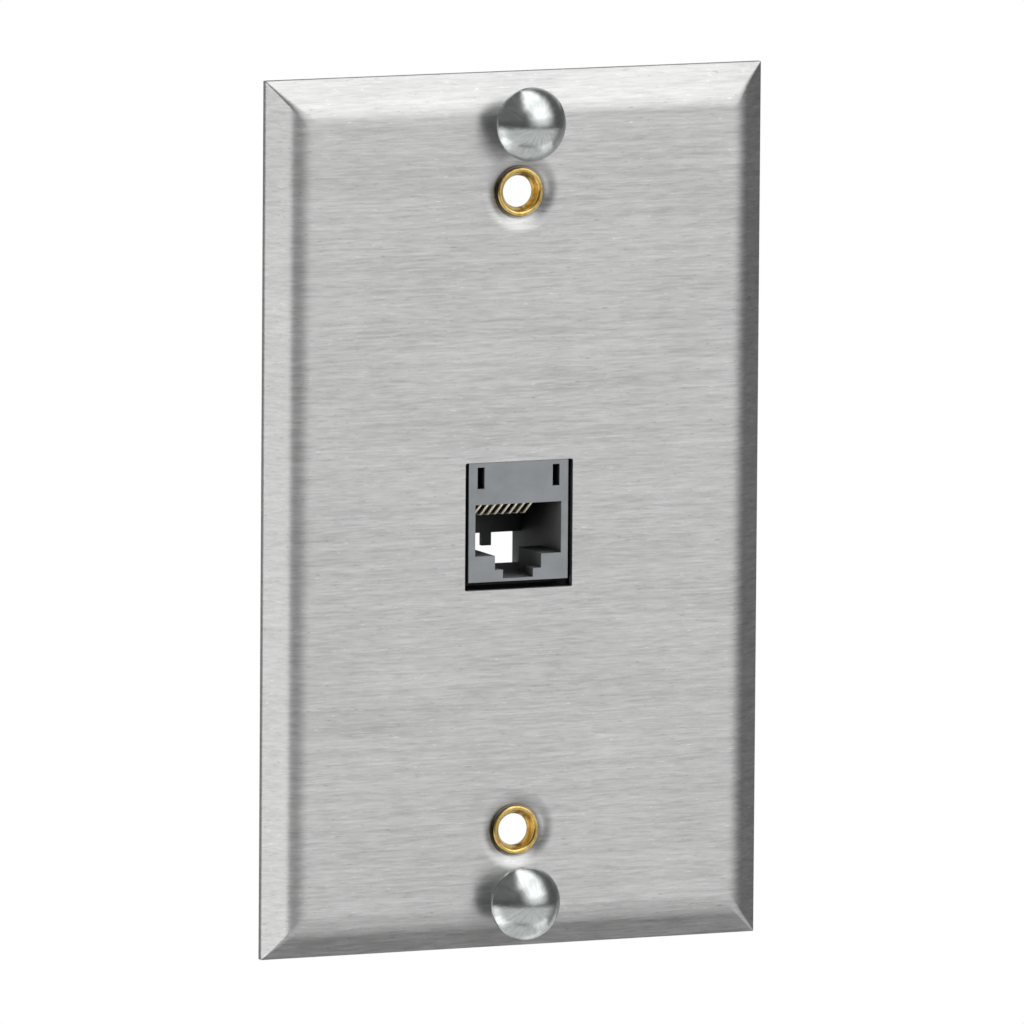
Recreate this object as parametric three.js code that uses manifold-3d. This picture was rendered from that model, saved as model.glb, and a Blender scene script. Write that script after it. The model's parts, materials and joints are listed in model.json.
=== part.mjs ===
// Flush wall plate for a hanging telephone: a bevelled steel faceplate with two mushroom studs, two brass
// eyelets for the box screws and an eight-way modular jack behind it.
//
// Millimetres. +Z is up, +X is to the right as a person faces the plate, and the plate stands off the wall
// towards -Y. Pieces are drawn about the plate's centre on the wall plane. What is at +Y is inside the wall
// box. The finished part is then moved so that its origin is the centre of its bounding box.
import * as THREE from 'three';
import { mergeVertices } from 'three/addons/utils/BufferGeometryUtils.js';
import Module from 'manifold-3d';

const wasm = await Module();
wasm.setup();

// ---- Driving dimensions -------------------------------------------------------------------------------

// Faceplate: a single-gang plate pressed from sheet.
const PLATE_WIDTH = 69.85;
const PLATE_HEIGHT = 114.3;
const PLATE_DEPTH = 3.2;
const SHEET = 0.9;
const EDGE_HEIGHT = 0.75;
const BEVEL_ANGLE = THREE.MathUtils.degToRad(32);
const BEND_RADIUS = 6.05;

// Fixing points on the plate's centre line, as heights above and below the centre.
const STUD_Z = 50.8;
const SCREW_Z = 41.67;

// Hanging stud.
const NECK_RADIUS = 2.1;
const HEAD_RADIUS = 4.8;
const HEAD_GAP = 2.6;
const HEAD_EDGE = 0.7;
const DOME_HEIGHT = 2.3;

// Clinched tail of the stud, behind the sheet.
const TAIL_RADIUS = 2.8;
const TAIL_BACK = 1.1;
const TAIL_GAP = 0.08;
const NECK_GAP = 0.1;

// Eyelet: a rolled lip in front, a waist inside and a rolled rear end. Its flange lies in a countersink.
const LIP_RADIUS = 2.5;
const WAIST_RADIUS = 2.05;
const WAIST_HEIGHT = 1.85;
const REAR_MOUTH_RADIUS = 2.56;
const BARREL_RADIUS = 2.65;
const FLANGE_RADIUS = 3.2;
const FLANGE = 0.4;
const SINK_DEPTH = 0.55;
const SINK_RADIUS = 4.15;

// Backing strap.
const STRAP = 1.2;
const STRAP_WIDTH = 26;
const STRAP_HEIGHT = 95;
const UPPER_TAB_HALF = 4.2;
const LOWER_TAB_HALF = 7.4;
const TAB_REACH = 4.4;
const TAB_SLOT = { half: 3.1, front: 1.5, back: 3.5 };

// Opening for the jack, and the jack's own front.
const OPENING_WIDTH = 15.15;
const OPENING_TOP = 6.65;
const OPENING_BOTTOM = -10.05;
const JACK_WIDTH = 14.05;
const JACK_TOP = 6.6;
const JACK_BOTTOM = -9.0;
const JACK_RECESS = 0.2;
const JACK_BACK = 11;

// Plug cavity. A step and a channel in the front lip below it take the plug's latch. Behind the lip the step
// runs down to the channel's floor. Behind the ledges beside it the cavity has its full width down there too.
const CAVITY_WIDTH = 12.1;
const CAVITY_TOP = 1.1;
const CAVITY_FLOOR = -5.6;
const STEP_WIDTH = 6.5;
const STEP_FLOOR = -7.45;
const CHANNEL_WIDTH = 4.2;
const CHANNEL_FLOOR = -8.6;
const LIP_BACK = -0.8;
const LEDGE_BACK = 4.3;
const REAR_WALL_FRONT = 10;
const REAR_WALL_FOOT = -4.4;
const CHEEK_BACK = 12.8;

// Details of the jack housing. The shoulders close the side gaps from behind, and the sill closes the gap
// below. The hook holds the lower tab. The key hangs from the foot of the rear wall, beside the middle.
const LABEL_SLOT = { x: 5.3, half: 0.475, foot: 3.2, top: 6.0, depth: 4.2 };
const SHOULDER = { half: 8.8, back: 0.9 };
const SILL = { front: 1.3, back: 3.1, foot: -10 };
const HOOK = { half: 2.6, front: 1.9, back: 3.1, foot: -10.9 };
const KEY = { left: 0.5, right: 1.85, foot: -6.1 };
const BLOCK_POCKET = { top: 3.6, front: -1.2 };
const LATCH_RECESS = { half: 3.2, floor: 4.3, front: 0.9, back: 10.5 };

// Side clips between the carrier and the housing.
const CLIP = { front: 6, back: 7.2, foot: 0.2, top: 3.2, depth: 0.55 };

// Sprung latch on top of the housing. Its tooth sits in the slot of the upper tab.
const LATCH = { half: 2.6, thickness: 0.9, pivotY: 9.9, pivotZ: 6.1, tip: 1.3 };
const LATCH_TOOTH = { top: 7.5, foot: [1.9, 3.3], crest: [2.5, 3.1] };

// Contacts.
const WAYS = 8;
const PITCH = 1.02;
const WIRE = 0.4;
const PIVOT_Y = 0.7;
const PIVOT_Z = 2.45;
const BEND_INSIDE = 0.35;
const ARM_ANGLE = THREE.MathUtils.degToRad(34);
const ARM_LENGTH = 4.3;
const TIP_LENGTH = 3.0;
const TIP_ANGLE = THREE.MathUtils.degToRad(5);
const BEND_SETBACK = 0.6;
const LEAD_SLOT_HALF = 0.33;
const LEAD_SLOT_ROOM = 0.15;

// Termination side: circuit board, carrier and cap.
const BOARD_FRONT = 11.2;
const BOARD = 1.2;
const BOARD_HALF = 7;
const REAR_HALF = 7.9;
const REAR_TOP = 7.0;
const REAR_FOOT = -4.1;
const CARRIER_BASE = 1.5;
const CARRIER_BACK = 21.5;
const TERMINAL_PITCH = 3.9;
const ROW_Z = [4.7, -1.7];
const ROW_HALF = 2.2;
const BLADE = { width: 2.7, thickness: 0.5, back: 20.5, slot: 0.45, slotFront: 16.5, mouth: 1.3, pin: 0.6 };
const BLADE_ROOM = 0.15;
const WIRE_SLOT_HALF = 0.6;
const LEAD_HOLE_RADIUS = 0.38;
const PIN_HOLE_RADIUS = 0.55;
const CAP_FRONT = 15;
const CAP_BACK = 24.3;
const CAP_WALL = 0.8;
const CAP_REAR_WALL = 1;
const CABLE_RADIUS = 3.2;
const GRIP = { places: [17, 18.6, 20.2], half: 0.35, depth: 0.3 };

// Gaps: faces that lie against each other, seated pieces, and pieces that slide or swing.
const TOUCH = 0.02;
const SEAT = 0.1;
const FREE = 0.2;

// How far a cutting tool runs past the face it cuts, and how far joined blocks run into each other.
const PAST = 1;
const OVERLAP = 0.1;

// Facets of a full turn.
const ROUND = 32;
const SMALL_ROUND = 16;

// ---- Derived places -----------------------------------------------------------------------------------

const faceY = -PLATE_DEPTH;
const sheetBackY = faceY + SHEET;
const strapFrontY = sheetBackY + TOUCH;
const strapBackY = strapFrontY + STRAP;
const jackFaceY = faceY + JACK_RECESS;
const boardBack = BOARD_FRONT + BOARD;
const carrierFront = boardBack + SEAT;
const baseBack = carrierFront + CARRIER_BASE;
const rearMidZ = (REAR_TOP + REAR_FOOT) / 2;
const studHeight = PLATE_DEPTH + HEAD_GAP + HEAD_EDGE + DOME_HEIGHT;
const middleY = (CAP_BACK - studHeight) / 2;

const X = new THREE.Vector3(1, 0, 0);
const Y = new THREE.Vector3(0, 1, 0);
const Z = new THREE.Vector3(0, 0, 1);
const OUT = new THREE.Vector3(0, -1, 0);

// ---- Solids -------------------------------------------------------------------------------------------

// Turns a closed geometry into a solid, with its triangles facing out whichever way it was drawn.
function solid(geometry) {
  geometry.deleteAttribute('normal');
  geometry.deleteAttribute('uv');
  const merged = mergeVertices(geometry, 1e-4);
  const corners = merged.index.array;
  const points = merged.getAttribute('position').array;
  const a = new THREE.Vector3();
  const b = new THREE.Vector3();
  const c = new THREE.Vector3();
  const kept = [];
  let volume = 0;
  for (let i = 0; i < corners.length; i += 3) {
    const [p, q, r] = corners.slice(i, i + 3);
    if (p === q || q === r || r === p) {
      continue;
    }
    kept.push([p, q, r]);
    a.fromArray(points, p * 3);
    b.fromArray(points, q * 3);
    c.fromArray(points, r * 3);
    volume += a.dot(b.cross(c));
  }
  const facing = volume < 0 ? kept.map(([p, q, r]) => [p, r, q]) : kept;
  const mesh = new wasm.Mesh({
    numProp: 3,
    vertProperties: new Float32Array(points),
    triVerts: new Uint32Array(facing.flat()),
  });
  return new wasm.Manifold(mesh);
}

// A distance range mirrored to one side of the centre plane, lower limit first.
function onSide(side, [a, b]) {
  return [side * a, side * b].sort((p, q) => p - q);
}

// A box between two limits on each axis.
function block([x0, x1], [y0, y1], [z0, z1]) {
  const box = new THREE.BoxGeometry(x1 - x0, y1 - y0, z1 - z0);
  box.translate((x0 + x1) / 2, (y0 + y1) / 2, (z0 + z1) / 2);
  return solid(box);
}

// A prism of an outline drawn on axes u and v. It runs from start for length along u cross v.
function prism(outline, u, v, start, length, curveSegments = 4) {
  const geometry = new THREE.ExtrudeGeometry(outline, {
    depth: length,
    steps: 1,
    bevelEnabled: false,
    curveSegments,
  });
  const along = u.clone().cross(v);
  const place = new THREE.Matrix4().makeBasis(u, v, along);
  place.setPosition(along.multiplyScalar(start));
  return solid(geometry.applyMatrix4(place));
}

// A turned piece on an axis square to the plate. Its profile is radius against height off the wall.
function turned(profile, x, z, facets = ROUND) {
  const points = profile.map((p) => new THREE.Vector2(p.x, -p.y));
  const geometry = new THREE.LatheGeometry(points, facets);
  return solid(geometry.translate(x, 0, z));
}

// A straight round bar or bore square to the plate.
function rod(radius, x, [y0, y1], z, facets = ROUND) {
  const bar = new THREE.CylinderGeometry(radius, radius, y1 - y0, facets);
  return solid(bar.translate(x, (y0 + y1) / 2, z));
}

function union(pieces) {
  return pieces.reduce((whole, piece) => whole.add(piece));
}

function cut(whole, pieces) {
  return pieces.reduce((left, piece) => left.subtract(piece), whole);
}

function spread(count, pitch) {
  return Array.from({ length: count }, (_, i) => (i - (count - 1) / 2) * pitch);
}

// ---- Materials ----------------------------------------------------------------------------------------

const MATERIALS = {
  brushed_steel: { color: 0xb9bab9, roughness: 0.38, metalness: 1 },
  zinc_steel: { color: 0xa7aba9, roughness: 0.5, metalness: 1 },
  polished_steel: { color: 0xc4c8c6, roughness: 0.18, metalness: 1 },
  brass: { color: 0xc9a040, roughness: 0.25, metalness: 1 },
  grey_plastic: { color: 0x8a8c8f, roughness: 0.5, metalness: 0 },
  dark_plastic: { color: 0x2c2d30, roughness: 0.5, metalness: 0 },
  gold_plate: { color: 0xd9b45a, roughness: 0.25, metalness: 1 },
  tin_plate: { color: 0xbfc0bd, roughness: 0.35, metalness: 1 },
  laminate: { color: 0x2d5a3c, roughness: 0.45, metalness: 0 },
};

const outlet = new THREE.Group();
const assembly = new THREE.Group();
assembly.position.y = -middleY;
outlet.add(assembly);

function addPart(name, manifold, material) {
  const { vertProperties, triVerts } = manifold.getMesh();
  const geometry = new THREE.BufferGeometry();
  geometry.setAttribute('position', new THREE.BufferAttribute(new Float32Array(vertProperties), 3));
  geometry.setIndex(new THREE.BufferAttribute(new Uint32Array(triVerts), 1));
  const faceted = geometry.toNonIndexed();
  faceted.computeVertexNormals();
  const mesh = new THREE.Mesh(faceted, new THREE.MeshStandardMaterial(MATERIALS[material]));
  mesh.name = name;
  assembly.add(mesh);
}

// ---- Faceplate ----------------------------------------------------------------------------------------

// Cross-section of the plate from rim to rim, as distance from the centre line against height off the wall.
// inset 0 is the outer surface. A larger inset is the surface that far inside it, open towards the wall.
function bevelOutline(half, inset) {
  const run = BEND_RADIUS * Math.sin(BEVEL_ANGLE);
  const rise = BEND_RADIUS * (1 - Math.cos(BEVEL_ANGLE));
  const slopeRun = (PLATE_DEPTH - EDGE_HEIGHT - rise) / Math.tan(BEVEL_ANGLE);
  const flatHalf = half - slopeRun - run;
  const centre = PLATE_DEPTH - BEND_RADIUS;
  const radius = BEND_RADIUS - inset;
  const start = Math.PI / 2 - BEVEL_ANGLE;
  const rimInset = (inset / Math.cos(BEVEL_ANGLE) - EDGE_HEIGHT) / Math.tan(BEVEL_ANGLE);
  const rim = inset > 0 ? half - rimInset : half;
  const foot = inset > 0 ? -PAST : 0;
  const corner = inset > 0 ? 0 : EDGE_HEIGHT;

  const outline = new THREE.Shape();
  outline.moveTo(-rim, foot);
  outline.lineTo(rim, foot);
  outline.lineTo(rim, corner);
  outline.absarc(flatHalf, centre, radius, start, Math.PI / 2, false);
  outline.absarc(-flatHalf, centre, radius, Math.PI / 2, Math.PI - start, false);
  outline.lineTo(-rim, corner);
  return outline;
}

// The whole pressed form. The two cross-sections meet in mitred corners.
function pressedForm(inset) {
  const across = prism(bevelOutline(PLATE_WIDTH / 2, inset), X, OUT, -PLATE_HEIGHT / 2, PLATE_HEIGHT);
  const upright = prism(bevelOutline(PLATE_HEIGHT / 2, inset), Z, OUT, -PLATE_WIDTH / 2, PLATE_WIDTH);
  return across.intersect(upright);
}

function countersink(z) {
  const floor = PLATE_DEPTH - SINK_DEPTH;
  const profile = [
    new THREE.Vector2(0, floor),
    new THREE.Vector2(FLANGE_RADIUS + FREE, floor),
    new THREE.Vector2(SINK_RADIUS, PLATE_DEPTH),
    new THREE.Vector2(SINK_RADIUS, PLATE_DEPTH + PAST),
    new THREE.Vector2(0, PLATE_DEPTH + PAST),
  ];
  return turned(profile, 0, z);
}

function faceplate() {
  const half = OPENING_WIDTH / 2;
  const through = [faceY - PAST, 0];
  const cuts = [
    pressedForm(SHEET),
    block([-half, half], through, [OPENING_BOTTOM, OPENING_TOP]),
  ];
  for (const side of [1, -1]) {
    cuts.push(rod(NECK_RADIUS + NECK_GAP, 0, through, side * STUD_Z));
    cuts.push(rod(BARREL_RADIUS + TOUCH, 0, through, side * SCREW_Z));
    cuts.push(countersink(side * SCREW_Z));
  }
  return cut(pressedForm(0), cuts);
}

addPart('faceplate', faceplate(), 'brushed_steel');

// ---- Backing strap ------------------------------------------------------------------------------------

// Stiffens the sheet between the eyelets. Two tabs bent back from its window hold the jack.
function backingStrap() {
  const half = STRAP_WIDTH / 2;
  const opening = OPENING_WIDTH / 2;
  const layer = [strapFrontY, strapBackY];
  const behind = [strapFrontY, TAB_REACH];
  const through = [faceY, TAB_REACH + PAST];
  const bothTabs = [OPENING_BOTTOM - STRAP - PAST, OPENING_TOP + STRAP + PAST];
  const plate = block([-half, half], layer, [-STRAP_HEIGHT / 2, STRAP_HEIGHT / 2]);
  const above = [OPENING_TOP, OPENING_TOP + STRAP];
  const below = [OPENING_BOTTOM - STRAP, OPENING_BOTTOM];
  const upperTab = block([-UPPER_TAB_HALF, UPPER_TAB_HALF], behind, above);
  const lowerTab = block([-LOWER_TAB_HALF, LOWER_TAB_HALF], behind, below);
  return cut(union([plate, upperTab, lowerTab]), [
    block([-opening, opening], through, [OPENING_BOTTOM, OPENING_TOP]),
    block([-TAB_SLOT.half, TAB_SLOT.half], [TAB_SLOT.front, TAB_SLOT.back], bothTabs),
    rod(BARREL_RADIUS + TOUCH, 0, through, SCREW_Z),
    rod(BARREL_RADIUS + TOUCH, 0, through, -SCREW_Z),
  ]);
}

addPart('backing_strap', backingStrap(), 'zinc_steel');

// ---- Hanging studs and eyelets ------------------------------------------------------------------------

// A self-clinching stud. The telephone's keyhole slots hang between the face and the flat of the head.
function hangingStud(z) {
  const under = PLATE_DEPTH + HEAD_GAP;
  const shoulder = under + HEAD_EDGE;
  const domeRadius = (HEAD_RADIUS ** 2 + DOME_HEIGHT ** 2) / (2 * DOME_HEIGHT);
  const domeCentre = shoulder + DOME_HEIGHT - domeRadius;
  const start = Math.asin((shoulder - domeCentre) / domeRadius);
  const round = HEAD_EDGE * 0.45;
  const profile = new THREE.Path();
  profile.moveTo(0, TAIL_BACK);
  profile.lineTo(NECK_RADIUS, TAIL_BACK);
  profile.lineTo(NECK_RADIUS, under);
  profile.lineTo(HEAD_RADIUS - round, under);
  profile.absarc(HEAD_RADIUS - round, under + round, round, -Math.PI / 2, 0, false);
  profile.absarc(0, domeCentre, domeRadius, start, Math.PI / 2, false);
  const stud = turned(profile.getPoints(3), 0, z);
  // The swaged tail follows the inside of the sheet, bend included.
  const tail = rod(TAIL_RADIUS, 0, [sheetBackY, -TAIL_BACK], z).intersect(pressedForm(SHEET + TAIL_GAP));
  return stud.add(tail);
}

addPart('upper_hanging_stud', hangingStud(STUD_Z), 'polished_steel');
addPart('lower_hanging_stud', hangingStud(-STUD_Z), 'polished_steel');

// An eyelet rolled over at both ends, which clinches the strap to the sheet.
function eyelet(z) {
  const front = PLATE_DEPTH - SINK_DEPTH + TOUCH;
  const back = -strapBackY - TOUCH;
  const lip = FLANGE * 0.7;
  const tip = FLANGE * 0.4;
  const profile = new THREE.Path();
  profile.moveTo(REAR_MOUTH_RADIUS, back - FLANGE);
  profile.lineTo(WAIST_RADIUS, WAIST_HEIGHT);
  profile.lineTo(LIP_RADIUS, front + FLANGE - lip);
  profile.absarc(LIP_RADIUS + lip, front + FLANGE - lip, lip, Math.PI, Math.PI / 2, true);
  profile.lineTo(FLANGE_RADIUS - tip, front + FLANGE);
  profile.absarc(FLANGE_RADIUS - tip, front + FLANGE - tip, tip, Math.PI / 2, 0, true);
  profile.lineTo(FLANGE_RADIUS, front);
  profile.lineTo(BARREL_RADIUS, front);
  profile.lineTo(BARREL_RADIUS, back);
  profile.lineTo(FLANGE_RADIUS, back);
  profile.lineTo(FLANGE_RADIUS, back - FLANGE);
  profile.lineTo(REAR_MOUTH_RADIUS, back - FLANGE);
  return turned(profile.getPoints(2), 0, z);
}

addPart('upper_eyelet', eyelet(SCREW_Z), 'brass');
addPart('lower_eyelet', eyelet(-SCREW_Z), 'brass');

// ---- Jack housing -------------------------------------------------------------------------------------

function jackHousing() {
  const half = JACK_WIDTH / 2;
  const inside = CAVITY_WIDTH / 2;
  const step = STEP_WIDTH / 2;
  const channel = CHANNEL_WIDTH / 2;
  const front = jackFaceY - PAST;
  const back = JACK_BACK + PAST;
  const pieces = [
    block([-half, half], [jackFaceY, JACK_BACK], [JACK_BOTTOM, JACK_TOP]),
    block([-SHOULDER.half, SHOULDER.half], [strapBackY + TOUCH, SHOULDER.back], [JACK_BOTTOM, JACK_TOP]),
    block([-SHOULDER.half, SHOULDER.half], [SILL.front, SILL.back], [SILL.foot, JACK_BOTTOM + OVERLAP]),
    block([-HOOK.half, HOOK.half], [HOOK.front, HOOK.back], [HOOK.foot, JACK_BOTTOM + OVERLAP]),
  ];
  const cuts = [
    block([-inside, inside], [front, REAR_WALL_FRONT], [CAVITY_FLOOR, CAVITY_TOP]),
    block([-step, step], [front, LEDGE_BACK + OVERLAP], [STEP_FLOOR, CAVITY_FLOOR + OVERLAP]),
    block([-channel, channel], [front, LIP_BACK + OVERLAP], [CHANNEL_FLOOR, STEP_FLOOR + OVERLAP]),
    block([-step, step], [LIP_BACK, LEDGE_BACK + OVERLAP], [CHANNEL_FLOOR, STEP_FLOOR + OVERLAP]),
    block([-inside, inside], [LEDGE_BACK, back], [CHANNEL_FLOOR, REAR_WALL_FOOT]),
    block([-inside, inside], [BLOCK_POCKET.front, back], [CAVITY_TOP - OVERLAP, BLOCK_POCKET.top]),
    block(
      [-LATCH_RECESS.half, LATCH_RECESS.half],
      [LATCH_RECESS.front, LATCH_RECESS.back],
      [LATCH_RECESS.floor, JACK_TOP + PAST],
    ),
  ];
  for (const side of [-1, 1]) {
    const wings = onSide(side, [LOWER_TAB_HALF + OVERLAP, SHOULDER.half]);
    pieces.push(block(wings, [SILL.front, SILL.back], [HOOK.foot, SILL.foot + OVERLAP]));
    const cheek = onSide(side, [inside, half]);
    pieces.push(block(cheek, [JACK_BACK - OVERLAP, CHEEK_BACK], [JACK_BOTTOM, REAR_WALL_FOOT]));
    const slot = onSide(side, [LABEL_SLOT.x - LABEL_SLOT.half, LABEL_SLOT.x + LABEL_SLOT.half]);
    cuts.push(block(slot, [front, jackFaceY + LABEL_SLOT.depth], [LABEL_SLOT.foot, LABEL_SLOT.top]));
    const recess = onSide(side, [half - CLIP.depth - TOUCH, half + PAST]);
    cuts.push(block(recess, [CLIP.front - FREE, CLIP.back + FREE], [CLIP.foot - FREE, CLIP.top + FREE]));
  }
  const key = block(
    [KEY.left, KEY.right],
    [REAR_WALL_FRONT, JACK_BACK - FREE],
    [KEY.foot, REAR_WALL_FOOT + OVERLAP],
  );
  return cut(union(pieces), cuts).add(key);
}

addPart('jack_housing', jackHousing(), 'grey_plastic');

// ---- Jack latch ---------------------------------------------------------------------------------------

// The arm bends at its rounded root.
function jackLatch() {
  const root = LATCH.thickness / 2;
  const foot = LATCH.pivotZ - root;
  const top = LATCH.pivotZ + root;
  const outline = new THREE.Shape();
  outline.moveTo(LATCH.tip, foot);
  outline.lineTo(LATCH.pivotY, foot);
  outline.absarc(LATCH.pivotY, LATCH.pivotZ, root, -Math.PI / 2, Math.PI / 2, false);
  outline.lineTo(LATCH_TOOTH.foot[1], top);
  outline.lineTo(LATCH_TOOTH.crest[1], LATCH_TOOTH.top);
  outline.lineTo(LATCH_TOOTH.crest[0], LATCH_TOOTH.top);
  outline.lineTo(LATCH_TOOTH.foot[0], top);
  outline.lineTo(LATCH.tip, top);
  return prism(outline, Y, Z, -LATCH.half, 2 * LATCH.half, 3);
}

addPart('jack_latch', jackLatch(), 'grey_plastic');

// ---- Contacts, leads and their block ------------------------------------------------------------------

function contactBlock() {
  const half = CAVITY_WIDTH / 2 - SEAT;
  const ends = [BLOCK_POCKET.front + FREE, JACK_BACK - SEAT];
  const body = block([-half, half], ends, [CAVITY_TOP + SEAT, BLOCK_POCKET.top - SEAT]);
  const slotTop = PIVOT_Z + WIRE / 2 + LEAD_SLOT_ROOM;
  const slots = spread(WAYS, PITCH).map((x) =>
    block([x - LEAD_SLOT_HALF, x + LEAD_SLOT_HALF], [ends[0] - PAST, ends[1] + PAST], [0, slotTop]));
  return cut(body, slots);
}

addPart('contact_block', contactBlock(), 'dark_plastic');

// One spring contact. It leaves its anchor forwards, folds under and runs down and back into the cavity.
function contactOutline() {
  const inner = BEND_INSIDE;
  const outer = BEND_INSIDE + WIRE;
  const bendY = PIVOT_Y - BEND_SETBACK;
  const bendZ = PIVOT_Z - WIRE / 2 - inner;
  const end = 1.5 * Math.PI - ARM_ANGLE;
  const along = new THREE.Vector2(Math.cos(ARM_ANGLE), -Math.sin(ARM_ANGLE)).multiplyScalar(ARM_LENGTH);
  const tip = new THREE.Vector2(Math.cos(TIP_ANGLE), -Math.sin(TIP_ANGLE)).multiplyScalar(TIP_LENGTH);
  const centre = new THREE.Vector2(bendY, bendZ);
  const away = new THREE.Vector2(Math.cos(end), Math.sin(end));
  const outerKnee = away.clone().multiplyScalar(outer).add(centre).add(along);
  const innerKnee = away.clone().multiplyScalar(inner).add(centre).add(along);
  const outline = new THREE.Shape();
  outline.moveTo(PIVOT_Y, PIVOT_Z - WIRE / 2);
  outline.lineTo(PIVOT_Y, PIVOT_Z + WIRE / 2);
  outline.absarc(bendY, bendZ, outer, Math.PI / 2, end, false);
  outline.lineTo(outerKnee.x, outerKnee.y);
  outline.lineTo(outerKnee.x + tip.x, outerKnee.y + tip.y);
  outline.lineTo(innerKnee.x + tip.x, outerKnee.y + tip.y + WIRE);
  outline.lineTo(innerKnee.x, innerKnee.y);
  outline.absarc(bendY, bendZ, inner, end, Math.PI / 2, true);
  return outline;
}

spread(WAYS, PITCH).forEach((x, i) => {
  const contact = prism(contactOutline(), Y, Z, x - WIRE / 2, WIRE, 5);
  addPart(`contact_${i + 1}`, contact, 'gold_plate');
});

// The lead behind each contact, from its anchor to the circuit board.
spread(WAYS, PITCH).forEach((x, i) => {
  const ends = [PIVOT_Y + FREE, boardBack - SEAT];
  const lead = block([x - WIRE / 2, x + WIRE / 2], ends, [PIVOT_Z - WIRE / 2, PIVOT_Z + WIRE / 2]);
  addPart(`contact_lead_${i + 1}`, lead, 'gold_plate');
});

// ---- Circuit board ------------------------------------------------------------------------------------

function terminalSites() {
  return ROW_Z.flatMap((z) => spread(WAYS / 2, TERMINAL_PITCH).map((x) => ({ x, z })));
}

function circuitBoard() {
  const board = block([-BOARD_HALF, BOARD_HALF], [BOARD_FRONT, boardBack], [REAR_FOOT, REAR_TOP]);
  const through = [BOARD_FRONT - PAST, boardBack + PAST];
  const leadHoles = spread(WAYS, PITCH).map((x) => rod(LEAD_HOLE_RADIUS, x, through, PIVOT_Z, SMALL_ROUND));
  const pinHoles = terminalSites().map(({ x, z }) => rod(PIN_HOLE_RADIUS, x, through, z, SMALL_ROUND));
  return cut(board, [...leadHoles, ...pinHoles]);
}

addPart('circuit_board', circuitBoard(), 'laminate');

// ---- Terminal carrier and terminals -------------------------------------------------------------------

function idcCarrier() {
  const ends = [-REAR_HALF, REAR_HALF];
  const pieces = [block(ends, [carrierFront, baseBack], [REAR_FOOT, REAR_TOP])];
  const cuts = [];
  for (const z of ROW_Z) {
    pieces.push(block(ends, [carrierFront, CARRIER_BACK], [z - ROW_HALF, z + ROW_HALF]));
  }
  for (const { x, z } of terminalSites()) {
    const halfWidth = BLADE.width / 2 + BLADE_ROOM;
    const halfThick = BLADE.thickness / 2 + BLADE_ROOM;
    const across = [x - WIRE_SLOT_HALF, x + WIRE_SLOT_HALF];
    const row = [z - ROW_HALF - OVERLAP, z + ROW_HALF + OVERLAP];
    const through = [carrierFront - PAST, CARRIER_BACK + PAST];
    cuts.push(block([x - halfWidth, x + halfWidth], through, [z - halfThick, z + halfThick]));
    cuts.push(block(across, [BLADE.slotFront, CARRIER_BACK + PAST], row));
  }
  // Side arms reach forward and hook into the housing.
  const inner = JACK_WIDTH / 2 + SEAT;
  const rows = [CLIP.foot, CLIP.top];
  for (const side of [-1, 1]) {
    pieces.push(block(onSide(side, [inner, REAR_HALF]), [CLIP.front, baseBack], rows));
    pieces.push(block(onSide(side, [inner - CLIP.depth, REAR_HALF]), [CLIP.front, CLIP.back], rows));
  }
  return cut(union(pieces), cuts);
}

addPart('idc_carrier', idcCarrier(), 'grey_plastic');

// A forked blade that strips and grips a conductor, with a pin that goes through the board.
function terminalOutline(x) {
  const half = BLADE.width / 2;
  const slot = BLADE.slot / 2;
  const pin = BLADE.pin / 2;
  const mouth = BLADE.mouth / 2;
  const pinEnd = BOARD_FRONT - SEAT;
  const shoulder = carrierFront + 2 * FREE;
  const mouthFoot = BLADE.back - 1;
  const points = [
    [-pin, pinEnd],
    [pin, pinEnd],
    [pin, shoulder],
    [half, shoulder],
    [half, BLADE.back],
    [mouth, BLADE.back],
    [slot, mouthFoot],
    [slot, BLADE.slotFront],
    [-slot, BLADE.slotFront],
    [-slot, mouthFoot],
    [-mouth, BLADE.back],
    [-half, BLADE.back],
    [-half, shoulder],
    [-pin, shoulder],
  ];
  return new THREE.Shape(points.map(([u, v]) => new THREE.Vector2(x + u, v)));
}

terminalSites().forEach(({ x, z }, i) => {
  const terminal = prism(terminalOutline(x), X, Y, z - BLADE.thickness / 2, BLADE.thickness);
  addPart(`idc_terminal_${i + 1}`, terminal, 'tin_plate');
});

// ---- Wire cap -----------------------------------------------------------------------------------------

// Pushes over the carrier from behind, and covers the conductors. The cable enters through its back.
function wireCap() {
  const inner = REAR_HALF + FREE;
  const outer = inner + CAP_WALL;
  const top = ROW_Z[0] + ROW_HALF + FREE;
  const foot = ROW_Z[1] - ROW_HALF - FREE;
  const rearWall = CAP_BACK - CAP_REAR_WALL;
  const shell = block([-outer, outer], [CAP_FRONT, CAP_BACK], [foot - CAP_WALL, top + CAP_WALL]);
  const cuts = [
    block([-inner, inner], [CAP_FRONT - PAST, rearWall], [foot, top]),
    rod(CABLE_RADIUS, 0, [rearWall - PAST, CAP_BACK + PAST], rearMidZ),
  ];
  // Finger grooves down both sides.
  for (const side of [-1, 1]) {
    for (const y of GRIP.places) {
      const groove = onSide(side, [outer - GRIP.depth, outer + PAST]);
      cuts.push(block(groove, [y - GRIP.half, y + GRIP.half], [foot, top]));
    }
  }
  return cut(shell, cuts);
}

addPart('wire_cap', wireCap(), 'grey_plastic');

export default outlet;
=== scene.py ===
"""Looks of the flush wall telephone plate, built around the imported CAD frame.

Sizes are in millimetres and are multiplied by MM, because Blender works in metres here. Places come from the
boxes of the CAD nodes. The plate stands in the XZ plane and faces -Y.
"""

import json
import math

import bmesh
import bpy
from mathutils import Matrix, Vector


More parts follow.
